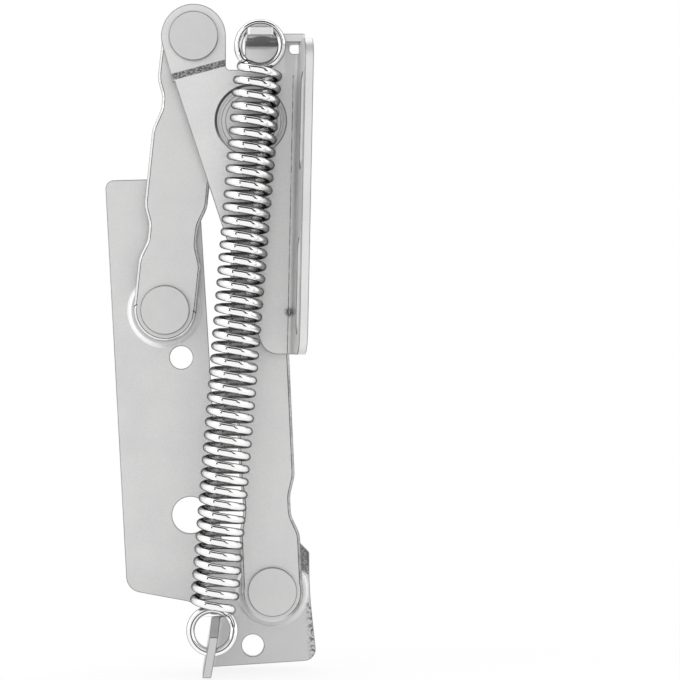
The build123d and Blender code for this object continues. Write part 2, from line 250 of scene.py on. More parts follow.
class SurfaceTree(NodeTree):
    """A material's node tree, whose patterns lie on the object's own coordinates.

    Distances along a direction are measured from the origin, and all of them are millimetres.
    """

    def __init__(self, name: str) -> None:
        """Starts a material that has only its shader.

        Args:
            name: the material's name.
        """
        self.material = bpy.data.materials.new(name)
        self.material.use_nodes = True
        super().__init__(self.material.node_tree)
        self.shader = self.nodes["Principled BSDF"]
        self.place = self.nodes.new("ShaderNodeTexCoord").outputs["Object"]

    def noise(self, grain: float, detail: float) -> Socket:
        """Adds a noise pattern.

        Args:
            grain: the size of its spots in millimetres.
            detail: its number of finer layers.

        Returns:
            The noise's value.
        """
        pattern = self.nodes.new("ShaderNodeTexNoise")
        pattern.inputs["Scale"].default_value = 1 / (grain * MM)
        pattern.inputs["Detail"].default_value = detail
        self.join(self.place, pattern.inputs["Vector"])
        return pattern.outputs["Fac"]

    def spread(self, value: Socket, low: float, high: float, start: float = 0.3,
               end: float = 0.7) -> Socket:
        """Maps a pattern's middle range onto a range of values.

        Args:
            value: the pattern.
            low: what start becomes.
            high: what end becomes.
            start: the pattern's low value.
            end: the pattern's high value.

        Returns:
            The mapped value.
        """
        ramp = self.nodes.new("ShaderNodeMapRange")
        ramp.interpolation_type = "SMOOTHSTEP"
        ramp.inputs["From Min"].default_value = start
        ramp.inputs["From Max"].default_value = end
        ramp.inputs["To Min"].default_value = low
        ramp.inputs["To Max"].default_value = high
        self.join(value, ramp.inputs["Value"])
        return ramp.outputs["Result"]

    def product(self, *values: Socket) -> Socket:
        """Multiplies values.

        Args:
            values: two or more of them.

        Returns:
            Their product.
        """
        result = values[0]
        for value in values[1:]:
            result = self.combine("MULTIPLY", result, value)
        return result

    def within(self, value: Socket, band: Band) -> Socket:
        """Marks where a value lies in a band.

        Args:
            value: the value that is looked at.
            band: the band.

        Returns:
            1 in the band and 0 outside.
        """
        half = band.blur / 2
        above = self.spread(value, 0.0, 1.0, band.low - half, band.low + half)
        below = self.spread(value, 1.0, 0.0, band.high - half, band.high + half)
        return self.product(above, below)

    def vector(self, operation: str, start: Socket,
               other: Vector | None = None) -> bpy.types.NodeOutputs:
        """Works with a vector.

        Args:
            operation: what is done, as the Vector Math node names it.
            start: the vector.
            other: a second, fixed vector, where the operation takes two.

        Returns:
            The node's outputs.
        """
        result = self.nodes.new("ShaderNodeVectorMath")
        result.operation = operation
        self.join(start, result.inputs[0])
        if other is not None:
            result.inputs[1].default_value = other
        return result.outputs

    def along(self, way: Vector) -> Socket:
        """How far a point lies along a direction, which is a unit vector."""
        return self.vector("DOT_PRODUCT", self.place, way / MM)["Value"]

    def beyond(self, way: Vector, start: float, end: float) -> Socket:
        """A mask that rises from 0 at start to 1 at end along a direction."""
        return self.spread(self.along(way), 0.0, 1.0, start, end)

    def across(self, way: Vector, band: Band) -> Socket:
        """A mask that is 1 in a band of distances along a direction."""
        return self.within(self.along(way), band)

    def distance_round(self, centre: Vector, way: Vector) -> Socket:
        """The distance from an axis.

        Args:
            centre: a point of the axis, in metres.
            way: the axis's direction, as a unit vector.

        Returns:
            The distance.
        """
        shift = self.vector("SUBTRACT", self.place, centre)["Vector"]
        cross = self.vector("CROSS_PRODUCT", shift, way / MM)["Vector"]
        return self.vector("LENGTH", cross)["Value"]

    def oval(self, centre: Vector, scale: Vector) -> Socket:
        """The distance from centre after each direction is stretched.

        Args:
            centre: where the distance is 0, in metres.
            scale: what each direction is multiplied by, 0 to leave it out.

        Returns:
            The stretched distance.
        """
        shift = self.nodes.new("ShaderNodeMapping")
        shift.inputs["Location"].default_value = -centre * scale
        shift.inputs["Scale"].default_value = scale
        self.join(self.place, shift.inputs["Vector"])
        return self.vector("LENGTH", shift.outputs["Vector"])["Value"]

    def distance_from(self, centre: Vector) -> Socket:
        """The distance from an axis that runs through centre towards the viewer."""
        return self.oval(centre, (RIGHT + UP) / MM)

    def shade(self, value: Socket, dark: Colour, light: Colour) -> None:
        """Colours the metal between two shades.

        Args:
            value: where it is dark, at 0, and light, at 1.
            dark: the darker colour.
            light: the lighter colour.
        """
        mix = self.nodes.new("ShaderNodeMix")
        mix.data_type = "RGBA"
        mix.inputs["A"].default_value = (*dark, 1.0)
        mix.inputs["B"].default_value = (*light, 1.0)
        self.join(value, mix.inputs["Factor"])
        self.join(mix.outputs["Result"], self.shader.inputs["Base Color"])

    def tint(self, level: float, *masks: Socket) -> None:
        """Lays a grey over the metal where all the masks are 1.

        Args:
            level: how light the grey is.
            masks: where it lies.
        """
        mix = self.nodes.new("ShaderNodeMix")
        mix.data_type = "RGBA"
        self.join(self.product(*masks), mix.inputs["Factor"])
        self.join(self.shader.inputs["Base Color"].links[0].from_socket, mix.inputs["A"])
        mix.inputs["B"].default_value = (*grey(level), 1.0)
        self.join(mix.outputs["Result"], self.shader.inputs["Base Color"])

    def soften(self, mask: Socket, metallic: float) -> None:
        """Makes the surface less like a mirror where the mask is 1.

        Args:
            mask: where it applies.
            metallic: the metal share there.
        """
        share = self.shader.inputs["Metallic"]
        mix = self.nodes.new("ShaderNodeMix")
        self.join(mask, mix.inputs["Factor"])
        if share.is_linked:
            self.join(share.links[0].from_socket, mix.inputs["A"])
        mix.inputs["A"].default_value = share.default_value
        mix.inputs["B"].default_value = metallic
        self.join(mix.outputs["Result"], share)

    def bump(self, height: Socket, depth: float, strength: float) -> None:
        """Raises and lowers the surface in the light.

        Args:
            height: the pattern, from 0 to 1.
            depth: its depth in millimetres.
            strength: how much of it shows.
        """
        relief = self.nodes.new("ShaderNodeBump")
        relief.inputs["Strength"].default_value = strength
        relief.inputs["Distance"].default_value = depth * MM
        self.join(height, relief.inputs["Height"])
        if self.shader.inputs["Normal"].is_linked:
            self.join(self.shader.inputs["Normal"].links[0].from_socket, relief.inputs["Normal"])
        self.join(relief.outputs["Normal"], self.shader.inputs["Normal"])


@dataclass(frozen=True)
class MetalFinish:
    """A metal surface: two close greys, a grain, a gloss range and a fine relief.

    The greys dark and light are levels, and light has less blue by warmth. Its roughness is smooth
    where it is dark and rough where it is light. The sizes speckle, cloud and relief are
    millimetres, and grazing dims the reflections at grazing angles.
    """

    name: str
    dark: float
    light: float
    smooth: float
    rough: float
    warmth: float = 0.005
    speckle: float = 0.35
    cloud: float = 9.0
    grain_detail: float = 3.0
    cloud_detail: float = 2.0
    grain_share: float = 0.55
    relief: float = 0.006
    relief_strength: float = 0.25
    metallic: float = 1.0
    grazing: float = 1.0

    def surface(self) -> SurfaceTree:
        """Lays out the finish's nodes, still open for a piece's own marks.

        Returns:
            The tree that holds the material.
        """
        tree = SurfaceTree(self.name)
        tree.shader.inputs["Metallic"].default_value = self.metallic
        tree.shader.inputs["Specular Tint"].default_value = (*grey(self.grazing), 1.0)
        grain = tree.noise(self.speckle, self.grain_detail)
        cloud = tree.noise(self.cloud, self.cloud_detail)
        fine = tree.spread(grain, 0.0, self.grain_share)
        both = tree.combine("ADD", fine, tree.spread(cloud, 0.0, 1 - self.grain_share))
        tree.shade(both, grey(self.dark), grey(self.light, self.warmth))
        gloss = tree.spread(both, self.smooth, self.rough, 0.0, 1.0)
        tree.join(gloss, tree.shader.inputs["Roughness"])
        tree.bump(grain, self.relief, self.relief_strength)
        return tree

    def material(self) -> bpy.types.Material:
        """The finish as it is on a plain piece."""
        return self.surface().material


NICKEL = MetalFinish("bright_nickel_sheet", 0.62, 0.71, smooth=0.4, rough=0.52, metallic=0.6)
# Painted light: the bracket's nickel is the sheet's nickel made lighter, to make up for the shade
# that the spring and the flange cast on it.
LIGHTENED_BRACKET_NICKEL = replace(NICKEL, name="lightened_bracket_nickel", dark=0.69, light=0.79)
ROLLED_EDGE = MetalFinish("rolled_edge", 0.78, 0.84, smooth=0.12, rough=0.2)
# Cut edges: their own duller grey, darkened further as painted shade that draws a dark outline round
# the sheets and the rivet rims.
SHEARED_AND_SHADED_EDGE = MetalFinish("sheared_and_shaded_edge", 0.22, 0.36, smooth=0.3, rough=0.4)
# Painted shade: a darker, speckled grey on the long arm's rim, where that edge lies in shade.
SHADED_RIM = MetalFinish("painted_shade_rim", 0.24, 0.56, smooth=0.3, rough=0.45, speckle=0.7)
# Painted shade: a near-black grey on the arms' narrow bevels, which draws dark lines along their
# edges.
PAINTED_OUTLINE_SHADE = MetalFinish("painted_outline_shade", 0.06, 0.12, smooth=0.4, rough=0.5, warmth=0.0)
RIVET_STEEL = MetalFinish("satin_rivet_steel", 0.60, 0.65, smooth=0.38, rough=0.46, cloud=4.0,
                          metallic=0.6)
STRIP = MetalFinish("rolled_washer_strip", 0.50, 0.60, smooth=0.35, rough=0.5, speckle=0.25)
DRAWN_WIRE = MetalFinish("bright_drawn_wire", 0.90, 0.95, smooth=0.07, rough=0.12, speckle=0.2,
                         cloud=3.0, relief=0.002, relief_strength=0.1, grazing=0.05)


@dataclass
class PressedSheet:
    """A piece stamped from sheet: the CAD solid's shape with eased edges.

    Lengths are millimetres and angles are degrees. Edges from sharp_angle up are eased, and faces
    up to flat_angle are taken as one. Where the press has rolled a rim round the front, rim_facing
    says between which shares of 1 it faces the viewer.
    """

    node: str
    body: Body
    edge: float = 0.2
    sharp_angle: float = 75.0
    weld: float = 0.05
    flat_angle: float = 0.5
    finish: MetalFinish = NICKEL
    edge_finish: MetalFinish = SHEARED_AND_SHADED_EDGE
    rolled: bool = False
    rim_facing: tuple[float, float] = (0.5, 0.9)
    rim_finish: MetalFinish = ROLLED_EDGE
    marks: Callable[[SurfaceTree], None] | None = None
    edge_marks: Callable[[SurfaceTree], None] | None = None

    def build(self) -> bpy.types.Object:
        """Copies the CAD solid, joins its triangles and eases its edges within the solid's box.

        Returns:
            The new piece.
        """
        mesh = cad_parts[self.node].data.copy()
        mesh.name = f"{self.node}_pressed"
        shape = bmesh.new()
        shape.from_mesh(mesh)
        bmesh.ops.remove_doubles(shape, verts=shape.verts, dist=self.weld * MM)
        bmesh.ops.dissolve_limit(shape, verts=shape.verts, edges=shape.edges,
                                 angle_limit=math.radians(self.flat_angle))
        round_edges(shape, self.sharp_edges(shape), self.edge, clamp=False)
        for face in shape.faces:
            if face.material_index == Coat.FACE and self.is_rim(face):
                face.material_index = Coat.RIM
        low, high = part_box(self.node)
        for vert in shape.verts:
            vert.co = Vector(sorted(limits)[1] for limits in zip(low, vert.co, high))
        mesh.materials.clear()
        mesh.clear_geometry()
        shape.to_mesh(mesh)
        shape.free()
        piece = new_piece(f"{self.node}_sheet", mesh)
        weigh_normals(piece)
        return piece

    def sharp_edges(self, shape: bmesh.types.BMesh) -> list[bmesh.types.BMEdge]:
        """The edges where two faces meet at more than the sharp angle."""
        least = math.radians(self.sharp_angle)
        return [edge for edge in shape.edges if edge.is_manifold and edge.calc_face_angle() > least]

    def is_rim(self, face: bmesh.types.BMFace) -> bool:
        """Tells whether a plain face belongs to the rim that the press leaves round an arm."""
        least, most = self.rim_facing
        return self.rolled and least < face.normal.dot(VIEWER) < most

    def dress(self, piece: bpy.types.Object) -> None:
        """Gives the piece its metals and its body, and hides the node it stands for.

        Args:
            piece: the piece that build has made.
        """
        coats = (
            (self.finish, self.marks),
            (self.edge_finish, self.edge_marks),
            (self.rim_finish, self.edge_marks),
        )
        for finish, marks in coats:
            tree = finish.surface()
            if marks:
                marks(tree)
            piece.data.materials.append(tree.material)
        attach(piece, self.body.value)
        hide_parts(self.node)


@dataclass
class Rivet:
    """A turned rivet, or one half of the parted one.

    Lengths are millimetres and angles are degrees. The depths back and front are measured from the
    base plate's rear towards the viewer, and the groove is that of the turning rings on its faces.
    """

    node: str
    body: Body
    back: float
    front: float
    part: RivetPart = RivetPart.WHOLE
    head_radius: float = 5.8
    head_height: float = 1.0
    tail_radius: float = 4.6
    tail_height: float = 0.9
    shank_radius: float = 3.0
    rim: float = 0.22
    rim_angle: float = 40.0
    weld: float = 0.002
    steps: int = 96
    groove: float = 0.35
    groove_depth: float = 0.004
    groove_strength: float = 0.2

    def outline(self) -> list[tuple[float, float]]:
        """Draws half of the rivet's section.

        Returns:
            Pairs of radius and depth in millimetres, from the rear to the front.
        """
        tail_front = self.back + self.tail_height
        head_back = self.front - self.head_height
        tail = [(self.tail_radius, self.back), (self.tail_radius, tail_front),
                (self.shank_radius, tail_front)]
        head = [(self.shank_radius, head_back), (self.head_radius, head_back),
                (self.head_radius, self.front)]
        if self.part is RivetPart.HEAD:
            tail = [(self.shank_radius, self.back)]
        if self.part is RivetPart.TAIL:
            head = [(self.shank_radius, self.front)]
        return [(0.0, self.back), *tail, *head, (0.0, self.front)]

    def build(self) -> bpy.types.Object:
        """Spins the outline round the pivot's axis and rounds its rims.

        Returns:
            The new piece.
        """
        centre = middle_of(self.node)
        axle = Vector((centre.x, 0.0, centre.z))
        shape = bmesh.new()
        row = [shape.verts.new(axle + (radius * RIGHT + depth * VIEWER) * MM)
               for radius, depth in self.outline()]
        edges = [shape.edges.new(pair) for pair in zip(row[:-1], row[1:])]
        bmesh.ops.spin(shape, geom=row + edges, cent=axle, axis=-VIEWER, angle=math.tau,
                       steps=self.steps, use_merge=True)
        bmesh.ops.remove_doubles(shape, verts=shape.verts, dist=self.weld * MM)
        bmesh.ops.recalc_face_normals(shape, faces=shape.faces)
        least = math.radians(self.rim_angle)
        rims = [edge for edge in shape.edges if edge.calc_face_angle(0.0) > least]
        round_edges(shape, rims, self.rim, clamp=True)
        piece = piece_of(f"{self.node}_turned", shape)
        weigh_normals(piece)
        return piece

    def dress(self, piece: bpy.types.Object) -> None:
        """Gives the rivet its steel with faint turning rings and its body, and hides its node.

        Args:
            piece: the piece that build has made.
        """
        tree = RIVET_STEEL.surface()
        rings = tree.nodes.new("ShaderNodeMath")
        rings.operation = "PINGPONG"
        rings.inputs[1].default_value = self.groove
        tree.join(tree.distance_from(middle_of(self.node)), rings.inputs[0])
        tree.bump(rings.outputs["Value"], self.groove_depth, self.groove_strength)
        piece.data.materials.append(tree.material)
        piece.data.materials.append(SHEARED_AND_SHADED_EDGE.material())
        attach(piece, self.body.value)
        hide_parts(self.node)


@dataclass
class Washers:
    """The thin washers, which keep their CAD shape and get their metal here."""

    nodes: tuple[str, ...] = (
        "short_arm_base_washer",
        "long_arm_base_washer",
        "short_arm_bracket_washer",
        "long_arm_bracket_washer",
        "short_arm_tail_washer",
        "long_arm_tail_washer",
    )

    def dress(self) -> None:
        """Gives each washer the rolled strip finish."""
        metal = STRIP.material()
        for node in self.nodes:
            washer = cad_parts[node]
            washer.data.materials.clear()
            washer.data.materials.append(metal)
            log.info("washer %s dressed", node)


@dataclass
class TensionSpring:
    """The close-wound spring: one wire from the lower loop through the curls to the upper loop.

    The wire is wound left-handed. Lengths are millimetres and angles are degrees. A ring is a loop,
    whose free end is tucked behind it, and the lead joins it to the last curl. The gap is what
    shows of the curls' inner side, which gets painted shade, and the reflection line is a painted
    reflection: a dark line round each loop.
    """

    wire: float = 1.9
    coil_radius: float = 4.7
    turns: int = 42
    ring_radius: float = 5.0
    ring_start: float = -111.0
    ring_tuck_start: float = 165.0
    ring_end: float = 235.0
    ring_tuck: float = 2.2
    lead_radius: float = 3.0
    lead_rise: float = 5.8
    lead_steps: int = 6
    tuck_steps: int = 5
    lower_ring: Vector = field(default_factory=lambda: Vector((7.3, -15.912, -63.0)))
    ring_distance: float = 135.7
    open_length: float = 122.03
    tilt: float = 4.7
    points_per_turn: int = 36
    sides: int = 16
    gap_shade: float = 0.42
    gap_blur: float = 0.2
    reflection_line_shade: float = 0.12
    reflection_line_inner: float = 0.22
    reflection_line_outer: float = 0.08
    reflection_line_blur: float = 0.1

    def __post_init__(self) -> None:
        """Works out the spring's axes, middle and pitch."""
        self.up = tilted(self.tilt)
        self.side = tilted(self.tilt + 90)
        self.upper_ring = self.lower_ring + self.ring_distance * self.up
        self.middle = (self.lower_ring + self.upper_ring) / 2
        lead_turn = math.acos(self.lead_radius / self.coil_radius)
        self.half_span = math.pi * self.turns + lead_turn
        self.rise = (self.ring_distance - 2 * self.lead_rise) / (2 * self.half_span)

    def coil_point(self, turn: float) -> Vector:
        """A point of the coil's middle line, for a turn in radians from the spring's middle."""
        across = self.coil_radius * (math.cos(turn) * VIEWER - math.sin(turn) * self.side)
        return self.middle + self.rise * turn * self.up + across

    def coil_way(self, turn: float) -> Vector:
        """The wire's direction at that turn."""
        across = self.coil_radius * (-math.sin(turn) * VIEWER - math.cos(turn) * self.side)
        return (self.rise * self.up + across).normalized()

    def ring_point(self, turn: float) -> Vector:
        """A point of the upper loop's middle line, for a turn in radians from the spring's right."""
        across = math.cos(turn) * self.side + math.sin(turn) * self.up
        return self.upper_ring + self.ring_radius * across

    def ring_way(self, turn: float) -> Vector:
        """The loop's direction at that turn."""
        return math.cos(turn) * self.up - math.sin(turn) * self.side

    def upper_end(self) -> list[Vector]:
        """Finds the way from the last curl to the free end of the upper loop.

        Returns:
            The points of the wire after the last curl.
        """
        start = math.radians(self.ring_start)
        tuck_start = math.radians(self.ring_tuck_start)
        finish = math.radians(self.ring_end)
        sweep = tuck_start - start
        steps = round(self.points_per_turn * sweep / math.tau)
        lead = biarc_points(self.coil_point(self.half_span), self.coil_way(self.half_span),
                            self.ring_point(start), self.ring_way(start), self.lead_steps)
        ring = [self.ring_point(start + sweep * step / steps) for step in range(1, steps + 1)]
        behind = self.ring_point(finish) - self.ring_tuck * VIEWER
        tuck = biarc_points(ring[-1], self.ring_way(tuck_start), behind, self.ring_way(finish),
                            self.tuck_steps)
        return lead + ring + tuck

    def route(self) -> list[Vector]:
        """Finds the way of the whole wire, whose lower end is its upper end turned by half.

        Returns:
            Its points, from the lower free end to the upper one.
        """
        steps = round(self.points_per_turn * self.half_span / math.pi)
        coil = [self.coil_point(self.half_span * (2 * step / steps - 1)) for step in range(steps + 1)]
        upper = self.upper_end()
        half_turn = Matrix.Rotation(math.pi, 3, "Y")
        lower = [self.middle + half_turn @ (point - self.middle) for point in reversed(upper)]
        return lower + coil + upper

    def build(self) -> bpy.types.Object:
        """Draws the wire along its route as a round tube with closed ends.

        Returns:
            The new piece.
        """
        route = self.route()
        line = bpy.data.curves.new("spring_route", "CURVE")
        line.dimensions = "3D"
        line.twist_mode = "MINIMUM"
        line.bevel_depth = self.wire / 2 * MM
        line.bevel_resolution = self.sides // 4
        line.use_fill_caps = True
        strand = line.splines.new("POLY")
        strand.points.add(len(route) - 1)
        for point, place in zip(strand.points, route):
            point.co = (*(place * MM), 1.0)
        drawn = bpy.data.objects.new("spring_route", line)
        mesh = bpy.data.meshes.new_from_object(drawn)
        mesh.name = "tension_spring_wire"
        bpy.data.objects.remove(drawn)
        mesh.polygons.foreach_set("use_smooth", [True] * len(mesh.polygons))
        return new_piece("tension_spring_wire", mesh)

    def shade_wire(self, tree: SurfaceTree) -> None:
        """Paints shade on the inner side of the curls and a dark reflection line round each loop.

        Args:
            tree: the wire's material.
        """
        # Painted shade: the inner side of the curls is darker, where the coil shades itself.
        depth = tree.distance_round(self.middle * MM, self.up)
        inner = tree.spread(depth, 1.0, 0.0, self.coil_radius - self.gap_blur,
                            self.coil_radius + self.gap_blur)
        level = self.middle.dot(self.up)
        reach = self.rise * self.half_span + self.wire / 2
        curls = tree.across(self.up, Band(level - reach, level + reach, self.wire / 2))
        tree.tint(self.gap_shade, inner, curls)
        loops = tree.spread(curls, 1.0, 0.0, 0.0, 1.0)
        # Painted reflection: a dark line round each loop, standing in for a dark reflection in the
        # wire.
        reflection_line = Band(self.ring_radius - self.reflection_line_inner, self.ring_radius + self.reflection_line_outer,
                    self.reflection_line_blur)
        for ring in (self.lower_ring, self.upper_ring):
            line = tree.within(tree.distance_from(ring * MM), reflection_line)
            tree.tint(self.reflection_line_shade, loops, line)

    def dress(self, piece: bpy.types.Object) -> None:
        """Gives the wire its bright plating and its body, and hides the CAD spring.

        Args:
            piece: the piece that build has made.
        """
        tree = DRAWN_WIRE.surface()
        self.shade_wire(tree)
        piece.data.materials.clear()
        piece.data.materials.append(tree.material)
        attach(piece, Body.SPRING.value)
        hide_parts("tension_spring")
        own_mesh(piece)


def arc_points(start: Vector, way: Vector, end: Vector, steps: int) -> list[Vector]:
    """Points on the arc that leaves start along way and reaches end.

    Args:
        start: the arc's start, which isn't returned.
        way: the unit direction there.
        end: the arc's end.
        steps: the number of points.

    Returns:
        The points after start, up to and with end.
    """
    chord = end - start
    half = way.angle(chord)
    radius = chord.length / (2 * math.sin(half))
    inward = (chord - way * chord.dot(way)).normalized()
    turns = [2 * half * step / steps for step in range(1, steps + 1)]
    return [start + radius * (math.sin(turn) * way + (1 - math.cos(turn)) * inward) for turn in turns]


def biarc_points(start: Vector, start_way: Vector, end: Vector, end_way: Vector,
                 steps: int) -> list[Vector]:
    """Points on the two arcs that join two points and keep a direction at each.

    Args:
        start: where the first arc starts.
        start_way: the unit direction there.
        end: where the second arc ends.
        end_way: the unit direction there.
        steps: the number of points on each arc.

    Returns:
        The points after start, up to and with end.
    """
    both = start_way + end_way
    gap = end - start
    share = 2 * (1 - start_way.dot(end_way))
    reach = (-gap.dot(both) + math.sqrt(gap.dot(both) ** 2 + share * gap.dot(gap))) / share
    near = start + start_way * reach
    far = end - end_way * reach
    joint = (near + far) / 2
    first = arc_points(start, start_way, joint, steps)
    return first + arc_points(joint, (far - near).normalized(), end, steps)


@dataclass(frozen=True)
class Speckles:
    """A pattern of spots of a size in millimetres.

    It is least between the spots, where the noise is up to start, and full from end on.
    """

    grain: float
    least: float
    start: float
    end: float
    detail: float = 4.0

    def mask(self, tree: SurfaceTree) -> Socket:
        """Where the spots lie."""
        noise = tree.noise(self.grain, self.detail)
        return tree.spread(noise, self.least, 1.0, self.start, self.end)


@dataclass(frozen=True)
class Stain:
    """A grey mark between slanted borders, in millimetres.

    Each border is a band and the way it is measured, in degrees clockwise from straight up.
    """

    shade: float
    borders: tuple[tuple[float, Band], ...]
    spots: Speckles | None = None

    def draw(self, tree: SurfaceTree, *masks: Socket) -> None:
        """Draws the mark.

        Args:
            tree: the material that it is drawn on.
            masks: what else it is kept within.
        """
        inside = [tree.across(tilted(lean), band) for lean, band in self.borders]
        spots = [self.spots.mask(tree)] if self.spots else []
        tree.tint(self.shade, *masks, *inside, *spots)


@dataclass(frozen=True)
class BossSlopeHighlight:
    """A painted highlight on the slope round a rivet's boss, in millimetres and degrees.

    It faces the way that leans clockwise from straight up, and fades in along that way.
    """

    rivet: str
    lean: float
    fade_start: float
    fade_end: float
    ring: Band


@dataclass(frozen=True)
class PlateMarks:
    """The base plate's marks: painted highlights on the bosses, painted shade on the foot, edge
    speckles.

    Lengths are millimetres, and leans are degrees clockwise from straight up. A pair is a start
    and an end. The verge, from the right edge inwards, has dark speckles, fewer along one stretch,
    and the foot's upper corner has a dark speckled patch.
    """

    front: tuple[float, float] = (1.9, 2.0)
    slopes: tuple[BossSlopeHighlight, ...] = (
        BossSlopeHighlight("short_arm_base_rivet", lean=-110.0, fade_start=1.5, fade_end=6.5,
                  ring=Band(8.0, 9.0, 0.15)),
        BossSlopeHighlight("long_arm_base_rivet", lean=100.0, fade_start=0.0, fade_end=7.0,
                  ring=Band(7.1, 9.0, 0.15)),
    )
    # Painted highlight: the near-white grey laid on the lit side of each boss's slope.
    slope_highlight: float = 0.97
    foot: tuple[float, float] = (-66.0, -44.0)
    foot_share: float = 0.55
    foot_shade: float = 0.52
    edge_lean: float = 86.1
    edge_reach: float = 27.3
    verge: tuple[float, float] = (-2.4, -0.6)
    sparse_stretch: Band = Band(-58.0, -52.0, 2.0)
    sparse_share: float = 0.15
    edge_speckles: Speckles = Speckles(0.6, least=0.0, start=0.42, end=0.58)
    edge_speckle_shade: float = 0.12
    dark_patch: Stain = Stain(0.16, ((edge_lean, Band(edge_reach - 4.0, edge_reach + 1.0, 1.0)),
                                (0.0, Band(-51.0, -40.0, 2.0))),
                         Speckles(0.5, least=0.35, start=0.38, end=0.58))

    def draw(self, tree: SurfaceTree) -> None:
        """Draws all of them.

        Args:
            tree: the base plate's material.
        """
        front = tree.beyond(VIEWER, *self.front)
        for slope in self.slopes:
            self.draw_slope_highlight(tree, front, slope)
        # Painted shade: the front darkens towards the foot, standing in for the shade near the floor.
        painted_foot_shade = tree.spread(tree.along(UP), self.foot_share, 0.0, *self.foot)
        tree.tint(self.foot_shade, front, painted_foot_shade)
        self.draw_edge_speckles(tree, front)
        self.dark_patch.draw(tree, front)

    def draw_slope_highlight(self, tree: SurfaceTree, front: Socket, slope: BossSlopeHighlight) -> None:
        """Paints a highlight on one side of the slope round a boss.

        Args:
            tree: the base plate's material.
            front: the mask of the plate's front.
            slope: the slope.
        """
        centre = middle_of(slope.rivet)
        way = tilted(slope.lean)
        level = centre.dot(way) / MM
        lit = tree.beyond(way, level + slope.fade_start, level + slope.fade_end)
        # Painted highlight: a near-white, non-metal grey on the lit side of the slope.
        mask = tree.product(front, lit, tree.within(tree.distance_from(centre), slope.ring))
        tree.tint(self.slope_highlight, mask)
        tree.soften(mask, 0.0)

    def draw_edge_speckles(self, tree: SurfaceTree, front: Socket) -> None:
        """Speckles the verge of the right edge dark, with fewer speckles in a stretch beside the
        boss.

        Args:
            tree: the base plate's material.
            front: the mask of the plate's front.
        """
        start, end = self.verge
        verge = tree.beyond(tilted(self.edge_lean), self.edge_reach + start, self.edge_reach + end)
        sparse_stretch = tree.spread(tree.across(UP, self.sparse_stretch), 1.0, self.sparse_share, 0.0, 1.0)
        tree.tint(self.edge_speckle_shade, front, verge, sparse_stretch, self.edge_speckles.mask(tree))


@dataclass(frozen=True)
class PaintedRing:
    """A ring of painted light or shade round the dimple, in millimetres."""

    radii: Band
    shade: float


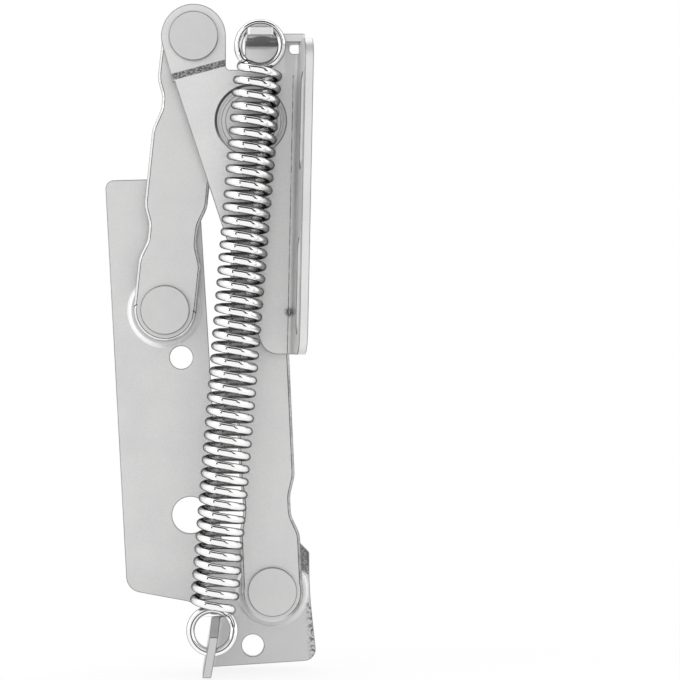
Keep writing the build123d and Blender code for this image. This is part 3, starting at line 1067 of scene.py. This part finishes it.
@dataclass(frozen=True)
class BracketMarks:
    """The door bracket's marks: painted light and shade, and dark speckled marks at the flange's
    bend.

    Lengths are millimetres, and leans are degrees clockwise from straight up. A pair is a start
    and an end. The wall is the dimple's side, with a painted shadow on its left. The step below
    the ear is dark from its rough stamping and from painted shade. The shelf is the tongue's
    underside in painted shade, the lit patch below it is painted light on the web, and the bend is
    that of the side flange, with a small dent.
    """

    front: tuple[float, float] = (9.75, 9.9)
    wall: tuple[float, float] = (9.9, 10.3)
    wall_depth: float = 0.08
    wall_strength: float = 0.35
    # Painted highlight: a lighter, less metallic grey on the dimple's slope.
    slope: PaintedRing = PaintedRing(Band(7.1, 8.1, 0.1), shade=0.9)
    slope_metal: float = 0.1
    # Painted shade: dark lines along the dimple's rims.
    rings: tuple[PaintedRing, ...] = (
        PaintedRing(Band(8.05, 8.35, 0.15), shade=0.2),
        PaintedRing(Band(6.85, 7.05, 0.15), shade=0.3),
    )
    # Painted shadow: a dark arc on the dimple's left side, where its wall lies in shade.
    lee_shadow: PaintedRing = PaintedRing(Band(8.0, 8.6, 0.15), shade=0.06)
    lee_shadow_lean: float = -60.0
    lee_shadow_fade: tuple[float, float] = (2.0, 7.0)
    # Partly real, partly painted shade: the step below the ear is darkened and speckled, for its
    # rough stamping and for the shade it lies in.
    step: Stain = Stain(0.1, ((-15.0, Band(63.1, 64.8, 0.2)), (90.0, Band(-20.0, 11.0, 0.2))),
                        Speckles(0.5, least=0.5, start=0.35, end=0.6))
    # Painted shade under the tongue: an oval of dark grey, kept to the shelf's heights.
    shelf_centre: tuple[float, float, float] = (18.9, -8.5, 0.0)
    shelf_radii: tuple[float, float] = (4.5, 11.0)
    shelf_rim: tuple[float, float] = (0.92, 1.0)
    shelf_heights: Band = Band(72.6, 74.1, 0.2)
    shelf_shade: float = 0.2
    # Painted light: a lighter grey on the web below the tongue, where it stands in the shade of the
    # flange and the spring.
    painted_light_patch: Stain = Stain(0.9, ((90.0, Band(13.8, 24.2, 1.0)), (0.0, Band(66.5, 72.4, 0.6))))
    bend: Stain = Stain(0.2, ((91.212, Band(24.76, 24.98, 0.1)), (0.0, Band(1.0, 66.0, 0.5))),
                        Speckles(1.6, least=0.45, start=0.35, end=0.55))
    dent: tuple[float, float, float] = (25.4, 0.0, 10.7)
    dent_fade: tuple[float, float] = (0.4, 1.6)
    dent_spots: Speckles = Speckles(0.4, least=0.3, start=0.35, end=0.55, detail=3.0)
    dent_shade: float = 0.1

    def draw(self, tree: SurfaceTree) -> None:
        """Draws all of them.

        Args:
            tree: the bracket's material.
        """
        front = tree.beyond(VIEWER, *self.front)
        self.draw_dimple(tree)
        self.step.draw(tree)
        self.draw_shelf(tree, front)
        self.painted_light_patch.draw(tree, front)
        self.bend.draw(tree, front)
        dent = tree.spread(tree.distance_from(Vector(self.dent) * MM), 1.0, 0.0, *self.dent_fade)
        tree.tint(self.dent_shade, front, dent, self.dent_spots.mask(tree))

    def draw_dimple(self, tree: SurfaceTree) -> None:
        """Paints the dimple's dark rings of shade, the highlight on its slope and the shadow on its
        left.

        Args:
            tree: the bracket's material.
        """
        centre = middle_of("long_arm_bracket_rivet")
        distance = tree.distance_from(centre)
        tree.bump(tree.spread(distance, 0.0, 1.0, *self.wall), self.wall_depth, self.wall_strength)
        slope = tree.within(distance, self.slope.radii)
        tree.tint(self.slope.shade, slope)
        tree.soften(slope, self.slope_metal)
        for ring in self.rings:
            tree.tint(ring.shade, tree.within(distance, ring.radii))
        way = tilted(self.lee_shadow_lean)
        lee = tree.beyond(way, *(centre.dot(way) / MM + fade for fade in self.lee_shadow_fade))
        tree.tint(self.lee_shadow.shade, lee, tree.within(distance, self.lee_shadow.radii))

    def draw_shelf(self, tree: SurfaceTree, front: Socket) -> None:
        """Paints shade on the underside of the tongue, which lies in shadow.

        Args:
            tree: the bracket's material.
            front: the mask of the web's front.
        """
        wide, deep = self.shelf_radii
        oval = tree.oval(Vector(self.shelf_centre) * MM, Vector((1 / wide, 1 / deep, 0.0)) / MM)
        under = tree.spread(oval, 1.0, 0.0, *self.shelf_rim)
        tree.tint(self.shelf_shade, front, under, tree.across(UP, self.shelf_heights))


@dataclass(frozen=True)
class ArmEndHighlight:
    """A painted highlight on the long arm's shaded rim round its lower end, in millimetres and
    degrees.
    """

    lean: float = -165.0
    fade: tuple[float, float] = (2.5, 6.0)
    share: float = 0.9
    shade: float = 0.72
    metal: float = 0.6

    def draw(self, tree: SurfaceTree) -> None:
        """Lightens the rim round the lower end with a painted highlight.

        Args:
            tree: the material of the arm's edges or its rim.
        """
        way = tilted(self.lean)
        level = middle_of("long_arm_base_rivet").dot(way) / MM
        start, end = self.fade
        lightened = tree.spread(tree.along(way), 0.0, self.share, level + start, level + end)
        tree.tint(self.shade, lightened)
        tree.soften(lightened, self.metal)


@dataclass
class Softbox:
    """A rectangular lamp that faces the hinge. Sizes are metres, its power is watts."""

    name: str
    place: Vector
    width: float
    height: float
    power: float

    def build(self, aim: Vector) -> None:
        """Hangs the lamp.

        Args:
            aim: where it points.
        """
        lamp = bpy.data.lights.new(self.name, "AREA")
        lamp.shape = "RECTANGLE"
        lamp.size = self.width
        lamp.size_y = self.height
        lamp.energy = self.power
        holder = bpy.data.objects.new(self.name, lamp)
        holder.location = self.place
        holder.rotation_euler = (aim - self.place).to_track_quat("-Z", "Y").to_euler()
        bpy.context.scene.collection.objects.link(holder)


@dataclass
class Card:
    """A flat dark card that only reflections see. Sizes are metres, turns are radians."""

    name: str
    place: Vector
    size: tuple[float, float]
    turn: tuple[float, float, float] = (math.pi / 2, 0.0, 0.0)

    def build(self, material: bpy.types.Material) -> None:
        """Stands the card in its place.

        Args:
            material: what it is made of.
        """
        shape = bmesh.new()
        bmesh.ops.create_grid(shape, x_segments=1, y_segments=1, size=0.5)
        bmesh.ops.scale(shape, verts=shape.verts, vec=(*self.size, 1.0))
        bmesh.ops.rotate(shape, verts=shape.verts, cent=Vector(), matrix=Euler(self.turn).to_matrix())
        bmesh.ops.translate(shape, verts=shape.verts, vec=self.place)
        card = piece_of(self.name, shape)
        card.data.materials.append(material)
        card.visible_camera = False
        card.visible_diffuse = False
        card.visible_shadow = False
        card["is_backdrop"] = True


@dataclass
class Studio:
    """The white floor, the lamps, the sky and the camera of the photograph.

    Places are metres. The camera's lens and sensor, the gap under the hinge and the radii of the
    floor's glow, which is pure white, are millimetres.
    """

    eye: Vector = field(default_factory=lambda: Vector((7.33, -520.0, 4.15)) * MM)
    lens: float = 115.6
    sensor: float = 36.0
    shift: float = 0.188
    floor_gap: float = 0.3
    floor_radius: float = 1.5
    floor_sides: int = 96
    floor_shade: float = 0.9
    floor_roughness: float = 0.9
    glow: tuple[float, float] = (0.8, 1.0)
    glow_radii: tuple[float, float] = (60.0, 260.0)
    sky_light: float = 0.9
    aim: Vector = field(default_factory=lambda: Vector((0.007, 0.0, 0.004)))
    card_shade: float = 0.01

    def build_floor(self) -> None:
        """Lays a round white floor under the hinge, which keeps a soft shadow."""
        low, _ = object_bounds()
        level = low.z - self.floor_gap * MM
        shape = bmesh.new()
        bmesh.ops.create_circle(shape, cap_ends=True, segments=self.floor_sides,
                                radius=self.floor_radius)
        bmesh.ops.translate(shape, verts=shape.verts, vec=(0.0, 0.0, level))
        floor = piece_of("floor", shape)
        floor.data.materials.append(self.floor_material())
        floor.visible_glossy = False
        floor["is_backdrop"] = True

    def floor_material(self) -> bpy.types.Material:
        """Mixes the floor's matt white with pure white, which the camera and reflections see.

        Returns:
            The material.
        """
        tree = SurfaceTree("white_floor")
        tree.shader.inputs["Base Color"].default_value = (*grey(self.floor_shade), 1.0)
        tree.shader.inputs["Roughness"].default_value = self.floor_roughness
        glow = tree.nodes.new("ShaderNodeEmission")
        mix = tree.nodes.new("ShaderNodeMixShader")
        far = tree.spread(tree.distance_round(Vector(), UP), *self.glow, *self.glow_radii)
        tree.join(tree.product(tree.seen_directly(), far), mix.inputs["Fac"])
        tree.join(tree.shader.outputs["BSDF"], mix.inputs[1])
        tree.join(glow.outputs["Emission"], mix.inputs[2])
        tree.join(mix.outputs["Shader"], tree.nodes["Material Output"].inputs["Surface"])
        return tree.material

    def build_sky(self) -> None:
        """Surrounds the hinge with an even light that is pure white to the camera."""
        world = bpy.data.worlds.new("studio")
        bpy.context.scene.world = world
        world.use_nodes = True
        tree = NodeTree(world.node_tree)
        even = tree.nodes["Background"]
        white = tree.nodes.new("ShaderNodeBackground")
        for light, strength in ((even, self.sky_light), (white, 1.0)):
            light.inputs["Color"].default_value = (*grey(1.0), 1.0)
            light.inputs["Strength"].default_value = strength
        mix = tree.nodes.new("ShaderNodeMixShader")
        tree.join(tree.seen_directly(), mix.inputs["Fac"])
        tree.join(even.outputs["Background"], mix.inputs[1])
        tree.join(white.outputs["Background"], mix.inputs[2])
        tree.join(mix.outputs["Shader"], tree.nodes["World Output"].inputs["Surface"])

    def build_lamps(self) -> None:
        """Hangs a softbox at each side and one above."""
        boxes = (
            Softbox("left_softbox", Vector((-0.55, -0.24, 0.25)), width=0.4, height=0.7, power=1.2),
            Softbox("right_softbox", Vector((0.6, -0.24, 0.2)), width=0.4, height=0.7, power=0.55),
            Softbox("top_softbox", Vector((0.0, 0.2, 0.55)), width=0.7, height=0.35, power=0.6),
        )
        for box in boxes:
            box.build(self.aim)

    def build_cards(self) -> None:
        """Stands dark cards round the hinge, which only reflections see."""
        tree = SurfaceTree("black_card")
        tree.shader.inputs["Base Color"].default_value = (*grey(self.card_shade), 1.0)
        tree.shader.inputs["Roughness"].default_value = 1.0
        cards = (
            Card("top_card", Vector((0.02, -0.24, 0.40)), size=(0.46, 0.38), turn=(0.0, 0.0, 0.0)),
            Card("left_bar", Vector((-0.20, -0.25, 0.2)), size=(0.06, 0.42)),
            Card("right_bar", Vector((0.21, -0.25, 0.2)), size=(0.11, 0.42)),
            Card("left_dot", Vector((-0.43, 0.25, 0.0)), size=(0.09, 0.09)),
            Card("right_dot", Vector((0.35, 0.25, 0.25)), size=(0.16, 0.16)),
        )
        for card in cards:
            card.build(tree.material)

    def build_camera(self) -> None:
        """Sets the camera where the photograph was taken from."""
        lens = bpy.data.cameras.new("camera")
        lens.sensor_width = self.sensor
        lens.lens = self.lens
        lens.shift_x = self.shift
        holder = bpy.data.objects.new("camera", lens)
        holder.location = self.eye
        holder.rotation_euler = (math.pi / 2, 0.0, 0.0)
        bpy.context.scene.collection.objects.link(holder)
        bpy.context.scene.camera = holder
        bpy.context.scene.view_settings.view_transform = "Standard"

    def build(self) -> None:
        """Builds the whole studio."""
        self.build_floor()
        self.build_sky()
        self.build_lamps()
        self.build_cards()
        self.build_camera()


def sheets() -> list[PressedSheet]:
    """Lists the four pieces stamped from sheet.

    Returns:
        The base plate, the two arms and the door bracket.
    """
    base_plate = PressedSheet("base_plate", Body.BASE, marks=PlateMarks().draw)
    short_arm = PressedSheet("short_arm", Body.UPPER_ARM, edge=0.1, sharp_angle=28.0,
                             edge_finish=PAINTED_OUTLINE_SHADE, rolled=True)
    long_arm = replace(short_arm, node="long_arm", body=Body.LOWER_ARM, rim_finish=SHADED_RIM,
                       edge_marks=ArmEndHighlight().draw)
    bracket = PressedSheet("door_bracket", Body.BRACKET, finish=LIGHTENED_BRACKET_NICKEL,
                           marks=BracketMarks().draw)
    return [base_plate, short_arm, long_arm, bracket]


def rivets() -> list[Rivet]:
    """Lists the rivets.

    Returns:
        Two on the base plate, one on the ear, and the two halves of the parted one.
    """
    return [
        Rivet("short_arm_base_rivet", Body.BASE, back=0.7, front=7.1),
        Rivet("long_arm_base_rivet", Body.BASE, back=0.7, front=7.1),
        Rivet("short_arm_bracket_rivet", Body.BRACKET, back=2.7, front=9.5),
        Rivet("long_arm_bracket_rivet", Body.BRACKET, back=6.1, front=9.5, part=RivetPart.HEAD,
              head_radius=6.1),
        Rivet("long_arm_bracket_rivet_tail", Body.LOWER_ARM, back=2.75, front=6.05,
              part=RivetPart.TAIL),
    ]


def build_pieces(makers: Iterable[PressedSheet | Rivet | TensionSpring]) -> None:
    """Builds and dresses each piece in turn.

    Args:
        makers: what makes the pieces.
    """
    for maker in makers:
        piece = maker.build()
        maker.dress(piece)
        log.info("%s built with %d faces", piece.name, len(piece.data.polygons))


def main() -> None:
    """Builds the hinge's pieces and the studio."""
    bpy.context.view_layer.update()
    build_pieces([*sheets(), *rivets(), TensionSpring()])
    Washers().dress()
    Studio().build()


if __name__ == "__main__":
    main()
